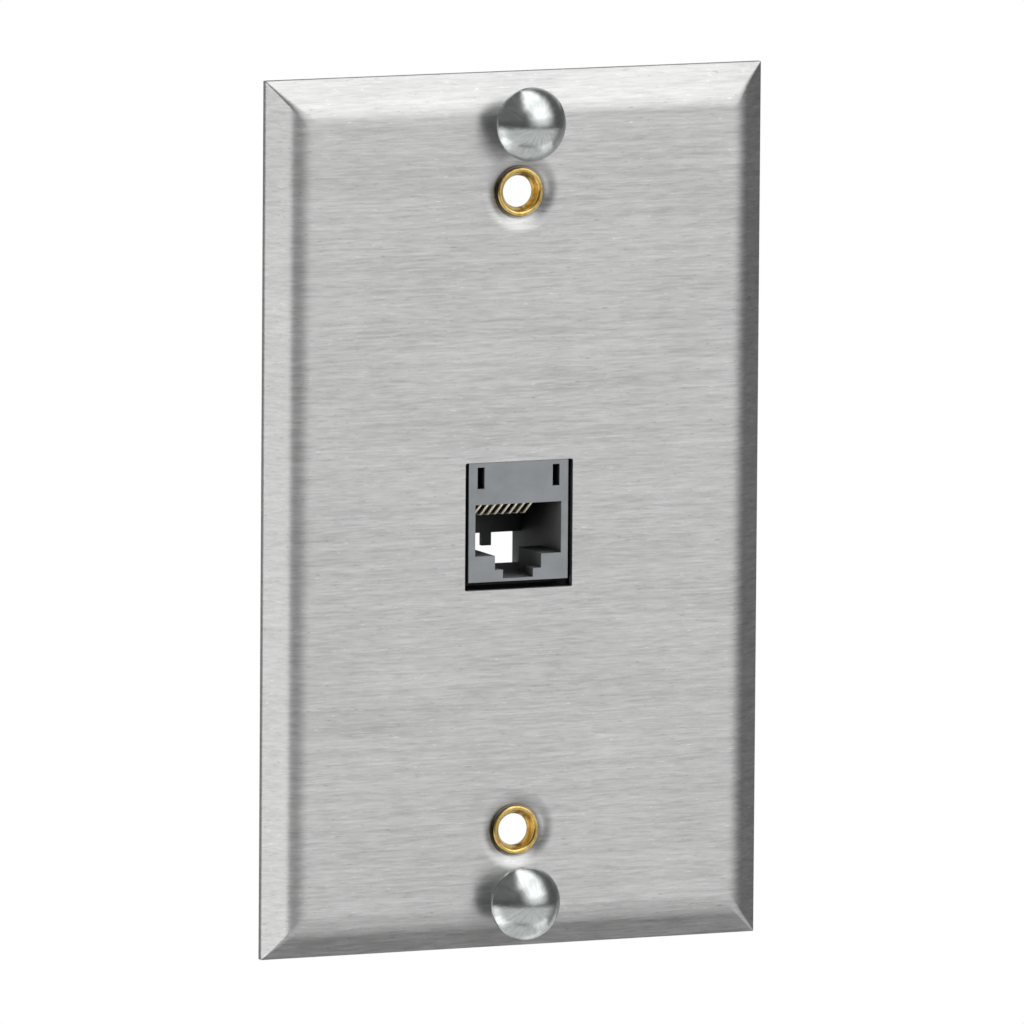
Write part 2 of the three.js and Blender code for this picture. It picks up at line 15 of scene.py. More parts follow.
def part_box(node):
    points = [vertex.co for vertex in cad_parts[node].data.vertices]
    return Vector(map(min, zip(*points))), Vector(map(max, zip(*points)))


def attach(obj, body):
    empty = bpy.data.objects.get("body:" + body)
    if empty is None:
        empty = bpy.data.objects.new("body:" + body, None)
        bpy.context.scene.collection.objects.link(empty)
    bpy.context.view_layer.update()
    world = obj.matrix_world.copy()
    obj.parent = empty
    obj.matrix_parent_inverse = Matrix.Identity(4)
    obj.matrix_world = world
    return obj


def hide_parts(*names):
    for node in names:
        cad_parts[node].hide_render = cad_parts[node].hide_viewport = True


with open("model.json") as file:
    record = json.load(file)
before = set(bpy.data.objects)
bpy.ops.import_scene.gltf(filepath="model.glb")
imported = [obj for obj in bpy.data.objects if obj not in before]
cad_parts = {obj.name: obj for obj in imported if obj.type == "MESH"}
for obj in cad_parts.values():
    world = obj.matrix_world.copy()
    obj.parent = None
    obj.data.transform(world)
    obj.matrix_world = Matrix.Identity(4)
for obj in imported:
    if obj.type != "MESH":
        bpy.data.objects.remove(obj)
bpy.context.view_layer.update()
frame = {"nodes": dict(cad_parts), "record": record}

MM = 0.001
WHITE = (1.0, 1.0, 1.0, 1.0)
NODES = frame["nodes"]


def box_mm(node):
    low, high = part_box(node)
    return low / MM, high / MM


def middle_z(node):
    low, high = box_mm(node)
    return (low.z + high.z) / 2


# The wall plane, which the plate's rim rests on, and the height of the plate's face above it.
plate_low, plate_high = box_mm("faceplate")
WALL = plate_high.y
PLATE_DEPTH = WALL - plate_low.y

# An edge that folds by more than this many degrees is shaded sharp.
SHARP_FOLD = 32.0


# ---- Small tools for node trees ---------------------------------------------------------------------------


class Tree:
    """A node tree that is written as a list of short calls."""

    def __init__(self, tree):
        self.tree = tree
        tree.nodes.clear()

    def add(self, kind, settings=None, **inputs):
        """Adds a node. Inputs are named by their socket, with _ for a space, and hold a value or a socket."""
        node = self.tree.nodes.new(kind)
        for key, value in (settings or {}).items():
            setattr(node, key, value)
        for key, value in inputs.items():
            self.feed(node, key.replace("_", " "), value)
        return node

    def feed(self, node, key, value):
        socket = node.inputs[int(key)] if key.isdigit() else node.inputs[key]
        if isinstance(value, bpy.types.NodeSocket):
            self.tree.links.new(value, socket)
        else:
            socket.default_value = value

    def math(self, operation, a, b=0.0, c=0.0):
        node = self.add("ShaderNodeMath", {"operation": operation})
        for key, value in zip("012", (a, b, c)):
            self.feed(node, key, value)
        return node.outputs[0]

    def ramp(self, factor, stops):
        """A colour ramp. Each stop is a place and a grey value or a colour."""
        node = self.add("ShaderNodeValToRGB", Fac=factor)
        ramp = node.color_ramp
        while len(ramp.elements) < len(stops):
            ramp.elements.new(1.0)
        for element, (place, value) in zip(ramp.elements, stops):
            element.position = place
            colour = (value,) * 3 if isinstance(value, (int, float)) else tuple(value)
            element.color = (*colour, 1.0)
        return node.outputs["Color"]

    def between(self, value, low, high, soft):
        """1 where value lies between low and high, with edges that are soft wide."""
        rise = self.add("ShaderNodeMapRange", {"interpolation_type": "SMOOTHSTEP"}, Value=value)
        fall = self.add("ShaderNodeMapRange", {"interpolation_type": "SMOOTHSTEP"}, Value=value)
        for node, edge, ends in ((rise, low, (0.0, 1.0)), (fall, high, (1.0, 0.0))):
            node.inputs["From Min"].default_value = edge - soft / 2
            node.inputs["From Max"].default_value = edge + soft / 2
            node.inputs["To Min"].default_value = ends[0]
            node.inputs["To Max"].default_value = ends[1]
        return self.math("MULTIPLY", rise.outputs[0], fall.outputs[0])

    def place_mm(self, stretch=(1.0, 1.0, 1.0)):
        """The point's place in the part's own frame in millimetres, multiplied by stretch."""
        place = self.add("ShaderNodeTexCoord").outputs["Object"]
        scale = Vector(stretch) / MM
        node = self.add("ShaderNodeVectorMath", {"operation": "MULTIPLY"})
        self.feed(node, "0", place)
        self.feed(node, "1", scale)
        return node.outputs[0]

    def noise(self, stretch, detail=2.0, roughness=0.5, distortion=0.0):
        """Noise between 0 and 1, with one feature about every 1 / stretch millimetres along each axis."""
        node = self.add(
            "ShaderNodeTexNoise",
            Vector=self.place_mm(stretch),
            Scale=1.0,
            Detail=detail,
            Roughness=roughness,
            Distortion=distortion,
        )
        return node.outputs["Fac"]

    def mix(self, factor, a, b, blend="MIX"):
        node = self.add("ShaderNodeMix", {"data_type": "RGBA", "blend_type": blend})
        for key, value in (("0", factor), ("6", a), ("7", b)):
            if isinstance(value, tuple) and len(value) == 3:
                value = (*value, 1.0)
            self.feed(node, key, value)
        return node.outputs[2]

    def painted_recess_shade(self, reach_mm, deepest_painted_shade, opened=0.8):
        """Painted shade for multiplying into a base colour: a grey that falls from 1 in the open to its
        darkest value deep in a recess or under another piece, found by ambient occlusion. It is 1 where at
        least this share of the sky, opened, is clear."""
        open_sky = self.add("ShaderNodeAmbientOcclusion", {"samples": 8}, Distance=reach_mm * MM)
        return self.ramp(open_sky.outputs["AO"], [(0.2, deepest_painted_shade), (opened, 1.0)])

    def bump(self, height, strength, distance_mm):
        node = self.add("ShaderNodeBump", Height=height, Strength=strength, Distance=distance_mm * MM)
        return node.outputs[0]


def material(name, build):
    """A material whose Principled shader gets the inputs that build returns."""
    made = bpy.data.materials.new(name)
    made.use_nodes = True
    tree = Tree(made.node_tree)
    shader = tree.add("ShaderNodeBsdfPrincipled")
    for key, value in build(tree).items():
        if isinstance(value, tuple) and len(value) == 3 and key != "Tangent":
            value = (*value, 1.0)
        tree.feed(shader, key, value)
    tree.add("ShaderNodeOutputMaterial", Surface=shader.outputs[0])
    return made


# ---- Materials --------------------------------------------------------------------------------------------

# The studs stand this far above and below the plate's middle.
STUD_Z = middle_z("upper_hanging_stud")

# The UV map that runs along the plate's brush marks.
BRUSH_MAP = "brush"


def brushed_steel(tree):
    """Stainless sheet, brushed from side to side, so that it spreads reflections up and down."""
    hair = tree.noise((0.28, 1.0, 3.4), detail=4, roughness=0.65, distortion=0.35)
    streak = tree.noise((0.05, 0.6, 1.6), detail=2)
    cloud = tree.noise((0.06, 0.1, 0.1), detail=3)
    fleck = tree.noise((0.8, 2.0, 4.0), detail=1)
    grain = tree.math("MULTIPLY_ADD", hair, 0.7, tree.math("MULTIPLY", streak, 0.3))
    tones = [(0.36, (0.50, 0.50, 0.495)), (0.5, (0.64, 0.64, 0.635)), (0.64, (0.77, 0.77, 0.765))]
    tone = tree.mix(0.3, tree.ramp(grain, tones), tree.ramp(cloud, [(0.35, 0.57), (0.65, 0.70)]))
    flecks = tree.ramp(fleck, [(0.22, 0.76), (0.33, 1.0), (0.68, 1.0), (0.78, 1.22)])
    tone = tree.mix(1.0, tone, flecks, "MULTIPLY")
    height = tree.math("ADD", hair, tree.math("MULTIPLY", streak, 0.5))
    brush = tree.add("ShaderNodeTangent", {"direction_type": "UV_MAP", "uv_map": BRUSH_MAP})
    return {
        # Painted shade: the plate's colour darkens in its hollows and under the studs.
        "Base Color": tree.mix(1.0, tone, tree.painted_recess_shade(0.9, 0.25), "MULTIPLY"),
        "Metallic": 1.0,
        "Roughness": tree.math("MULTIPLY_ADD", grain, 0.22, 0.24),
        "Anisotropic": 0.75,
        "Anisotropic Rotation": 0.25,
        "Tangent": brush.outputs[0],
        "Normal": tree.bump(height, 0.12, 0.05),
    }


def zinc_steel(tree):
    """Zinc-plated strap with dull spangles and rolling marks."""
    spangle = tree.add("ShaderNodeTexVoronoi", Vector=tree.place_mm((0.45, 0.45, 0.3)), Scale=1.0)
    grain = tree.noise((0.8, 0.8, 0.12), detail=4, roughness=0.6)
    tone = tree.mix(0.3, tree.ramp(grain, [(0.3, 0.42), (0.7, 0.62)]), spangle.outputs["Color"], "SOFT_LIGHT")
    grey = tree.mix(0.75, tone, tree.ramp(grain, [(0.3, (0.42, 0.43, 0.44)), (0.7, (0.60, 0.61, 0.60))]))
    return {
        # Painted shade: the strap's colour darkens in narrow gaps and under other pieces.
        "Base Color": tree.mix(1.0, grey, tree.painted_recess_shade(3.0, 0.12), "MULTIPLY"),
        "Metallic": 1.0,
        "Roughness": tree.math("MULTIPLY_ADD", grain, 0.25, 0.28),
        "Normal": tree.bump(grain, 0.15, 0.03),
    }


def polished_steel(tree):
    """Polished stud with faint turning rings and streaks from its middle, small dents and fine scratches."""
    place = tree.add("ShaderNodeSeparateXYZ", Vector=tree.place_mm())
    rise = tree.math("SUBTRACT", tree.math("ABSOLUTE", place.outputs["Z"]), STUD_Z)
    turn = tree.math("ARCTAN2", rise, place.outputs["X"])
    across = tree.add("ShaderNodeCombineXYZ", X=place.outputs["X"], Y=rise).outputs[0]
    radius = tree.add("ShaderNodeVectorMath", {"operation": "LENGTH"}, **{"0": across}).outputs["Value"]

    def marks(around, outwards):
        """Noise with this many features per radian around the middle and per millimetre outwards from it."""
        way = tree.add(
            "ShaderNodeCombineXYZ",
            X=tree.math("MULTIPLY", turn, around),
            Y=tree.math("MULTIPLY", radius, outwards),
        )
        noise = tree.add("ShaderNodeTexNoise", Vector=way.outputs[0], Scale=1.0, Detail=3.0, Roughness=0.6)
        return noise.outputs["Fac"]

    streak = marks(7.0, 0.8)
    groove = marks(1.0, 9.0)
    dents = tree.noise((1.1, 1.1, 1.1), detail=3, roughness=0.6)
    scratch = tree.noise((5.0, 2.0, 9.0), detail=2, distortion=0.6)
    tones = [(0.35, (0.57, 0.60, 0.595)), (0.5, (0.63, 0.66, 0.65)), (0.65, (0.69, 0.715, 0.71))]
    height = tree.math("MULTIPLY_ADD", groove, 0.4, tree.math("MULTIPLY", streak, 0.3))
    height = tree.math("MULTIPLY_ADD", dents, 1.1, height)
    return {
        "Base Color": tree.ramp(streak, tones),
        "Metallic": 1.0,
        "Roughness": tree.math("MULTIPLY_ADD", scratch, 0.16, 0.12),
        "Anisotropic": 0.35,
        "Anisotropic Rotation": 0.25,
        "Tangent": tree.add("ShaderNodeTangent", {"direction_type": "RADIAL", "axis": "Y"}).outputs[0],
        "Normal": tree.bump(height, 0.22, 0.05),
    }


def brass(tree):
    """Brass with tarnish stains and fine scuffs, and painted shade inside the barrel."""
    stain = tree.noise((1.2, 1.2, 1.2), detail=4, roughness=0.6)
    scuff = tree.noise((9.0, 3.0, 9.0), detail=3)
    tone = tree.ramp(stain, [(0.3, (0.66, 0.40, 0.10)), (0.5, (0.90, 0.63, 0.20)), (0.7, (0.97, 0.78, 0.36))])
    return {
        # Painted shade: the brass's colour darkens inside the barrel and where it meets the plate.
        "Base Color": tree.mix(1.0, tone, tree.painted_recess_shade(4.0, 0.02, 0.9), "MULTIPLY"),
        "Metallic": 1.0,
        "Roughness": tree.math("MULTIPLY_ADD", scuff, 0.22, 0.12),
        "Normal": tree.bump(scuff, 0.15, 0.03),
    }


def moulded_plastic(low, high, deepest_painted_shade):
    """Moulded plastic with a fine spark-eroded texture. low and high are its tones in the open, and the third
    argument is the share of them that painted shade leaves deep in a recess."""

    def build(tree):
        texture = tree.noise((11.0, 11.0, 11.0), detail=3, roughness=0.6)
        flow = tree.noise((0.35, 0.35, 0.5), detail=3)
        blend = tree.math("MULTIPLY_ADD", texture, 0.45, tree.math("MULTIPLY", flow, 0.55))
        tone = tree.ramp(blend, [(0.35, low), (0.65, high)])
        return {
            # Painted shade: the tone darkens deep in recesses and under other pieces.
            "Base Color": tree.mix(1.0, tone, tree.painted_recess_shade(14.0, deepest_painted_shade, 0.5), "MULTIPLY"),
            "Roughness": tree.math("MULTIPLY_ADD", texture, 0.2, 0.4),
            "Specular IOR Level": 0.4,
            "Normal": tree.bump(texture, 0.18, 0.03),
        }

    return build


def gold_plate(tree):
    """Gold-flashed spring wire with fine drawing marks. Painted shade darkens a thin round wire towards its
    sides.
    """
    draw = tree.noise((12.0, 0.8, 0.8), detail=2)
    tone = tree.ramp(draw, [(0.3, (1.0, 0.88, 0.64)), (0.7, (1.0, 0.97, 0.84))])
    facing = tree.add("ShaderNodeLayerWeight", Blend=0.5).outputs["Facing"]
    return {
        # Painted shade: the colour darkens where the wire turns away from the view, as a lit round wire
        # would.
        "Base Color": tree.mix(1.0, tone, tree.ramp(facing, [(0.3, 1.0), (0.7, 0.1)]), "MULTIPLY"),
        "Metallic": 0.15,
        "Roughness": tree.math("MULTIPLY_ADD", draw, 0.15, 0.12),
        "Normal": tree.bump(draw, 0.1, 0.02),
    }


def tin_plate(tree):
    """Tin-plated blade with drawing marks."""
    draw = tree.noise((4.0, 0.7, 4.0), detail=3)
    return {
        "Base Color": tree.ramp(draw, [(0.3, 0.52), (0.7, 0.72)]),
        "Metallic": 1.0,
        "Roughness": tree.math("MULTIPLY_ADD", draw, 0.25, 0.28),
        "Normal": tree.bump(draw, 0.12, 0.02),
    }


def laminate(tree):
    """Circuit board: green solder mask on its faces, and layered glass cloth where its edge is cut."""
    weave = tree.noise((5.0, 1.0, 5.0), detail=2)
    layers = tree.noise((0.4, 14.0, 0.4), detail=1)
    facing = tree.add("ShaderNodeSeparateXYZ", Vector=tree.add("ShaderNodeNewGeometry").outputs["Normal"])
    flat = tree.math("GREATER_THAN", tree.math("ABSOLUTE", facing.outputs["Y"]), 0.7)
    mask = tree.ramp(weave, [(0.3, (0.010, 0.085, 0.035)), (0.7, (0.018, 0.14, 0.06))])
    edge = tree.ramp(layers, [(0.35, (0.24, 0.23, 0.11)), (0.65, (0.42, 0.40, 0.22))])
    return {
        "Base Color": tree.mix(flat, edge, mask),
        "Roughness": tree.math("MULTIPLY_ADD", weave, 0.25, 0.25),
        "Normal": tree.bump(tree.math("ADD", weave, layers), 0.1, 0.02),
    }


FINISHES = {
    "brushed_steel": brushed_steel,
    "zinc_steel": zinc_steel,
    "polished_steel": polished_steel,
    "brass": brass,
    # The last number of each plastic is the share of its tone that painted shade leaves deep in recesses.
    "grey_plastic": moulded_plastic((0.186, 0.197, 0.207), (0.235, 0.248, 0.259), 0.06),
    "dark_plastic": moulded_plastic((0.105, 0.100, 0.100), (0.155, 0.148, 0.148), 0.5),
    "gold_plate": gold_plate,
    "tin_plate": tin_plate,
    "laminate": laminate,
}
MATERIALS = {slot: material(slot, build) for slot, build in FINISHES.items()}
SLOT_OF = {row["node"]: row["material_slot"] for row in frame["record"]["subparts"]}
BODY_OF = {node: body for body, nodes in frame["record"]["behaviour"]["bodies"].items() for node in nodes}


# ---- Shapes -----------------------------------------------------------------------------------------------

# Facets round a turned piece, and steps along a corner of a rounded rectangle.
TURNED_FACETS = 96
CORNER_STEPS = 6

# Vertices closer than this are joined, and faces within this many degrees of each other are merged.
WELD = 0.002
FLAT = 0.6


def shade_smooth(bm):
    """Shades every face smooth and leaves the edges sharp where the mesh folds by more than SHARP_FOLD."""
    for face in bm.faces:
        face.smooth = True
    for edge in bm.edges:
        edge.smooth = len(edge.link_faces) == 2 and edge.calc_face_angle(0) < math.radians(SHARP_FOLD)


def finish_mesh(bm, name):
    """Turns a bmesh into a smooth-shaded object in the scene."""
    bmesh.ops.recalc_face_normals(bm, faces=bm.faces)
    shade_smooth(bm)
    mesh = bpy.data.meshes.new(name)
    bm.to_mesh(mesh)
    bm.free()
    made = bpy.data.objects.new(name, mesh)
    bpy.context.scene.collection.objects.link(made)
    return made


def stand_for(made, node):
    """Gives a piece the finish and the body of the CAD node that it stands for."""
    made.data.materials.clear()
    made.data.materials.append(MATERIALS[SLOT_OF[node]])
    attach(made, BODY_OF[node])
    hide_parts(node)
    return made


def arc(centre_u, centre_v, radius, start, end, steps):
    """Points on an arc, in degrees."""
    turn = [math.radians(start + (end - start) * i / steps) for i in range(steps + 1)]
    return [(centre_u + radius * math.cos(t), centre_v + radius * math.sin(t)) for t in turn]


def turned(bm, profile, z, closed=False):
    """Turns a profile of radius and height off the wall about an axis square to the plate, at x = 0."""
    rings = []
    for radius, height in profile:
        if radius == 0:
            rings.append([bm.verts.new(Vector((0, WALL - height, z)) * MM)])
            continue
        ring = []
        for i in range(TURNED_FACETS):
            turn = 2 * math.pi * i / TURNED_FACETS
            place = (radius * math.cos(turn), WALL - height, z + radius * math.sin(turn))
            ring.append(bm.verts.new(Vector(place) * MM))
        rings.append(ring)
    pairs = list(zip(rings, rings[1:]))
    if closed:
        pairs.append((rings[-1], rings[0]))
    for a, b in pairs:
        for i in range(TURNED_FACETS):
            j = (i + 1) % TURNED_FACETS
            corners = [a[i % len(a)], a[j % len(a)], b[j % len(b)], b[i % len(b)]]
            kept = [v for k, v in enumerate(corners) if v not in corners[:k]]
            bm.faces.new(kept)


def loft(bm, loops):
    """Skins loops of the same number of vertices, and closes both ends."""
    count = len(loops[0])
    for a, b in zip(loops, loops[1:]):
        for i in range(count):
            j = (i + 1) % count
            bm.faces.new((a[i], a[j], b[j], b[i]))
    bm.faces.new(loops[0])
    bm.faces.new(list(reversed(loops[-1])))


def rounded_loop(bm, half_width, half_height, radius, height):
    """A loop of vertices round a rectangle with round corners, at a height off the wall."""
    verts = []
    centres = ((1, 1, 0), (-1, 1, 90), (-1, -1, 180), (1, -1, 270))
    for sx, sz, start in centres:
        centre = (sx * (half_width - radius), sz * (half_height - radius))
        for u, v in arc(*centre, radius, start, start + 90, CORNER_STEPS):
            verts.append(bm.verts.new(Vector((u, WALL - height, v)) * MM))
    return verts


def boolean_cut(made, cutter):
    """Cuts one object by another and removes the cutter."""
    cut = made.modifiers.new("cut", "BOOLEAN")
    cut.operation = "DIFFERENCE"
    cut.solver = "EXACT"
    cut.object = cutter
    graph = bpy.context.evaluated_depsgraph_get()
    mesh = bpy.data.meshes.new_from_object(made.evaluated_get(graph), depsgraph=graph)
    made.modifiers.clear()
    made.data = mesh
    bpy.data.objects.remove(cutter)


def soften(made, width_mm, segments=2, angle=28.0):
    """Rounds the edges of a piece and keeps its flats flat."""
    bevel = made.modifiers.new("edge", "BEVEL")
    bevel.width = width_mm * MM
    bevel.segments = segments
    bevel.limit_method = "ANGLE"
    bevel.angle_limit = math.radians(angle)
    bevel.harden_normals = False
    normals = made.modifiers.new("normals", "WEIGHTED_NORMAL")
    normals.keep_sharp = True


def refine(node, width_mm, segments=2, join_flats=True):
    """Keeps a CAD node's shape, with its facets merged, its edges rounded and its real finish."""
    made = NODES[node]
    weld = made.modifiers.new("weld", "WELD")
    weld.merge_threshold = WELD * MM
    if join_flats:
        merge = made.modifiers.new("flats", "DECIMATE")
        merge.decimate_type = "DISSOLVE"
        merge.angle_limit = math.radians(FLAT)
    soften(made, width_mm, segments)
    for polygon in made.data.polygons:
        polygon.use_smooth = True
    made.data.materials.clear()
    made.data.materials.append(MATERIALS[SLOT_OF[node]])


# ---- Faceplate --------------------------------------------------------------------------------------------

SHEET = 0.9
BEVEL_ANGLE = 32.0
BEND_RADIUS = 6.05
EDGE_HEIGHT = 0.75
RIM_ROUND = 0.18
FACE_MARGIN = 0.5
PLATE_EDGE_ROUND = 0.07

# The plate's corners are nearly square at the rim, and rounder further in.
CORNER_RADIUS = 0.12
CORNER_GROWTH = 0.2

OPENING_WIDTH = 15.15
OPENING_HEIGHT = 16.7
OPENING_MIDDLE = -1.7
OPENING_ROUND = 0.25
STUD_HOLE_RADIUS = 2.2
EYELET_HOLE_RADIUS = 2.67

# Dimple for an eyelet's flange: its flat floor, the slope of its side and the fillet at its foot. The rounded
# lip takes up SINK_LIP_SHARE of the side's height.
SINK_DEPTH = 0.6
SINK_FLOOR_RADIUS = 3.3
SINK_SLOPE = 26.0
SINK_FILLET = 0.25
SINK_LIP_SHARE = 0.6

# How far a cutting tool stands out of what it cuts.
CLEAR = 1.0

# Millimetres of plate for each unit of the brush map.
BRUSH_SPAN = 100.0


def bevel_section(inset):
    """The bevelled edge in section, from the rim inwards: distance from the rim and height off the wall."""
    angle = math.radians(BEVEL_ANGLE)
    run = BEND_RADIUS * math.sin(angle)
    rise = BEND_RADIUS * (1 - math.cos(angle))
    slope_run = (PLATE_DEPTH - EDGE_HEIGHT - rise) / math.tan(angle)
    flat = slope_run + run
    bend = arc(flat, PLATE_DEPTH - BEND_RADIUS, BEND_RADIUS - inset, 90 + BEVEL_ANGLE, 90, 16)
    face = [(bend[-1][0] + FACE_MARGIN, bend[-1][1])]
    if inset:
        rim = (inset / math.cos(angle) - EDGE_HEIGHT) / math.tan(angle)
        return [(rim, 0.0)] + bend + face
    corner = RIM_ROUND * math.tan((math.pi / 2 - angle) / 2)
    rim = arc(RIM_ROUND, EDGE_HEIGHT - corner, RIM_ROUND, 180, 90 + BEVEL_ANGLE, 4)
    return [(0.0, 0.0)] + rim + bend + face


def sheet():
    """The pressed sheet, before anything is cut out of it."""
    bm = bmesh.new()
    inner, outer = (
        [
            rounded_loop(bm, plate_high.x - s, plate_high.z - s, CORNER_RADIUS + CORNER_GROWTH * s, height)
            for s, height in bevel_section(inset)
        ]
        for inset in (SHEET, 0.0)
    )
    loft(bm, list(reversed(inner)) + outer)
    return finish_mesh(bm, "faceplate_sheet")


def opening_tool():
    bm = bmesh.new()
    size = (OPENING_WIDTH / 2, OPENING_HEIGHT / 2, OPENING_ROUND)
    loft(bm, [rounded_loop(bm, *size, height) for height in (PLATE_DEPTH + 2 * CLEAR, -CLEAR)])
    bmesh.ops.translate(bm, verts=bm.verts, vec=(0, 0, OPENING_MIDDLE * MM))
    return finish_mesh(bm, "opening_tool")


def bore_profile(radius):
    return [(0, -CLEAR), (radius, -CLEAR), (radius, PLATE_DEPTH + CLEAR), (0, PLATE_DEPTH + CLEAR)]


def dimple_profile():
    """The dimple for an eyelet's flange: a flat floor that curves up into the face."""
    floor = PLATE_DEPTH - SINK_DEPTH
    foot = arc(SINK_FLOOR_RADIUS, floor + SINK_FILLET, SINK_FILLET, -90, SINK_SLOPE - 90, 3)
    slope = math.radians(SINK_SLOPE)
    lip_round = (PLATE_DEPTH - foot[-1][1]) * SINK_LIP_SHARE / (1 - math.cos(slope))
    crest = PLATE_DEPTH - lip_round * (1 - math.cos(slope))
    edge = foot[-1][0] + (crest - foot[-1][1]) / math.tan(slope) + lip_round * math.sin(slope)
    lip = arc(edge, PLATE_DEPTH - lip_round, lip_round, 90 + SINK_SLOPE, 91, 8)
    top = PLATE_DEPTH + CLEAR / 2
    return [(0.0, floor)] + foot + lip + [(edge, top), (0.0, top)]


def lay_brush_map(plate):
    """Shades the cut plate, and lays the UV map whose U runs across it, as its brush marks do."""
    bm = bmesh.new()
    bm.from_mesh(plate.data)
    shade_smooth(bm)
    brush = bm.loops.layers.uv.new(BRUSH_MAP)
    for face in bm.faces:
        for loop in face.loops:
            loop[brush].uv = (loop.vert.co.x / MM / BRUSH_SPAN, loop.vert.co.z / MM / BRUSH_SPAN)
    bm.to_mesh(plate.data)
    bm.free()


def faceplate():
    plate = sheet()
    boolean_cut(plate, opening_tool())
    for side in ("upper", "lower"):
        stud_z = middle_z(f"{side}_hanging_stud")
        screw_z = middle_z(f"{side}_eyelet")
        holes = [
            (bore_profile(STUD_HOLE_RADIUS), stud_z),
            (bore_profile(EYELET_HOLE_RADIUS), screw_z),
            (dimple_profile(), screw_z),
        ]
        for profile, z in holes:
            bm = bmesh.new()
            turned(bm, profile, z)
            boolean_cut(plate, finish_mesh(bm, "hole_tool"))
    lay_brush_map(plate)
    soften(plate, PLATE_EDGE_ROUND, 2, angle=40)
    return stand_for(plate, "faceplate")


plate = faceplate()


# ---- Studs and eyelets ------------------------------------------------------------------------------------

STUD_NECK_RADIUS = 2.1
STUD_NECK_FILLET = 0.25
STUD_HEAD_GAP = 2.6
STUD_HEAD_EDGE = 0.7
STUD_UNDER_ROUND = 0.32
STUD_RIM_ROUND = 0.22
STUD_RIM_DROP = 0.1
STUD_DOME_INSET = 0.14


def hanging_stud(side):
    """A mushroom stud: a neck, and a domed head with a rounded rim."""
    node = f"{side}_hanging_stud"
    low, high = box_mm(node)
    head = (high.x - low.x) / 2
    apex = WALL - low.y
    tail = WALL - high.y
    under = PLATE_DEPTH + STUD_HEAD_GAP
    rim = under + STUD_HEAD_EDGE
    rise = apex - rim
    dome = (head ** 2 + rise ** 2) / (2 * rise)
    start = math.degrees(math.acos((head - STUD_DOME_INSET) / dome))
    neck = STUD_NECK_RADIUS
    profile = [(0, tail), (neck, tail)]
    profile += arc(neck + STUD_NECK_FILLET, under - STUD_NECK_FILLET, STUD_NECK_FILLET, 180, 90, 4)
    profile += arc(head - STUD_UNDER_ROUND, under + STUD_UNDER_ROUND, STUD_UNDER_ROUND, -90, 0, 6)
    profile += arc(head - STUD_RIM_ROUND, rim - STUD_RIM_DROP, STUD_RIM_ROUND, 10, 45, 3)
    profile += arc(0, rim + rise - dome, dome, start, 90, 24)
    profile[-1] = (0, apex)
    bm = bmesh.new()
    turned(bm, profile, middle_z(node))
    return stand_for(finish_mesh(bm, f"{side}_stud"), node)


EYELET_LIP_RADIUS = 2.5
EYELET_LIP_ROUND = 0.32
EYELET_FLANGE_ROUND = 0.2
EYELET_FLANGE = 0.4
EYELET_BARREL_RADIUS = 2.65
EYELET_WAIST_RADIUS = 2.05
EYELET_WAIST_HEIGHT = 1.85
EYELET_REAR_ROUND = 0.15
EYELET_REAR_RISE = 0.2

# The rear mouth's radius and rounding, and the radius and depth of the funnel in front of it.
EYELET_REAR_MOUTH = (2.72, 0.12)
EYELET_REAR_FUNNEL = (2.3, 0.62)

# The waist opens by these steps of radius, at these heights from it, towards the back and the front.
EYELET_WAIST_STEPS = ((0.03, -0.25), (0.0, 0.0), (0.04, 0.2))


def eyelet(side):
    """A brass eyelet: a rolled lip in front, a waist inside and a rolled rear end."""
    node = f"{side}_eyelet"
    low, high = box_mm(node)
    front = WALL - low.y
    back = WALL - high.y
    outer = (high.x - low.x) / 2
    lip = EYELET_LIP_RADIUS + EYELET_LIP_ROUND
    mouth, mouth_round = EYELET_REAR_MOUTH
    funnel, funnel_depth = EYELET_REAR_FUNNEL
    profile = arc(lip, front - EYELET_LIP_ROUND, EYELET_LIP_ROUND, 195, 85, 8)
    profile += arc(outer - EYELET_FLANGE_ROUND, front - EYELET_FLANGE_ROUND, EYELET_FLANGE_ROUND, 80, -70, 8)
    profile += [(EYELET_BARREL_RADIUS, front - EYELET_FLANGE), (EYELET_BARREL_RADIUS, back + EYELET_FLANGE)]
    profile += arc(outer - EYELET_REAR_ROUND, back + EYELET_REAR_RISE, EYELET_REAR_ROUND, 60, -60, 5)
    profile += arc(mouth, back + mouth_round, mouth_round, 270, 200, 3)
    profile += [(funnel, back + funnel_depth)]
    profile += [(EYELET_WAIST_RADIUS + r, EYELET_WAIST_HEIGHT + h) for r, h in EYELET_WAIST_STEPS]
    bm = bmesh.new()
    turned(bm, profile, middle_z(node), closed=True)
    return stand_for(finish_mesh(bm, f"{side}_brass_eyelet"), node)


studs = [hanging_stud(end) for end in ("upper", "lower")]
for end in ("upper", "lower"):
    eyelet(end)


# ---- The other parts keep their CAD shapes ----------------------------------------------------------------

refine("backing_strap", 0.15)
refine("jack_housing", 0.12)
refine("jack_latch", 0.12)
refine("contact_block", 0.05)
refine("circuit_board", 0.04)
refine("idc_carrier", 0.12)
# The cap's grooved sides shade wrongly once their facets are merged.
refine("wire_cap", 0.12, join_flats=False)
WIRE_ROUND = 0.185
for way in range(1, 9):
    refine(f"contact_{way}", WIRE_ROUND, 4)
    refine(f"contact_lead_{way}", WIRE_ROUND, 4)
    refine(f"idc_terminal_{way}", 0.06)
contacts = [NODES[f"contact_{way}"] for way in range(1, 9)]


# ---- Studio -----------------------------------------------------------------------------------------------

FLOOR_DROP = 45.0
FLOOR_SIZE = 9000.0

# The middle of the plate on the wall plane, where the lamps and the camera are aimed.
PLATE_FOCUS = Vector((0, WALL, 0))


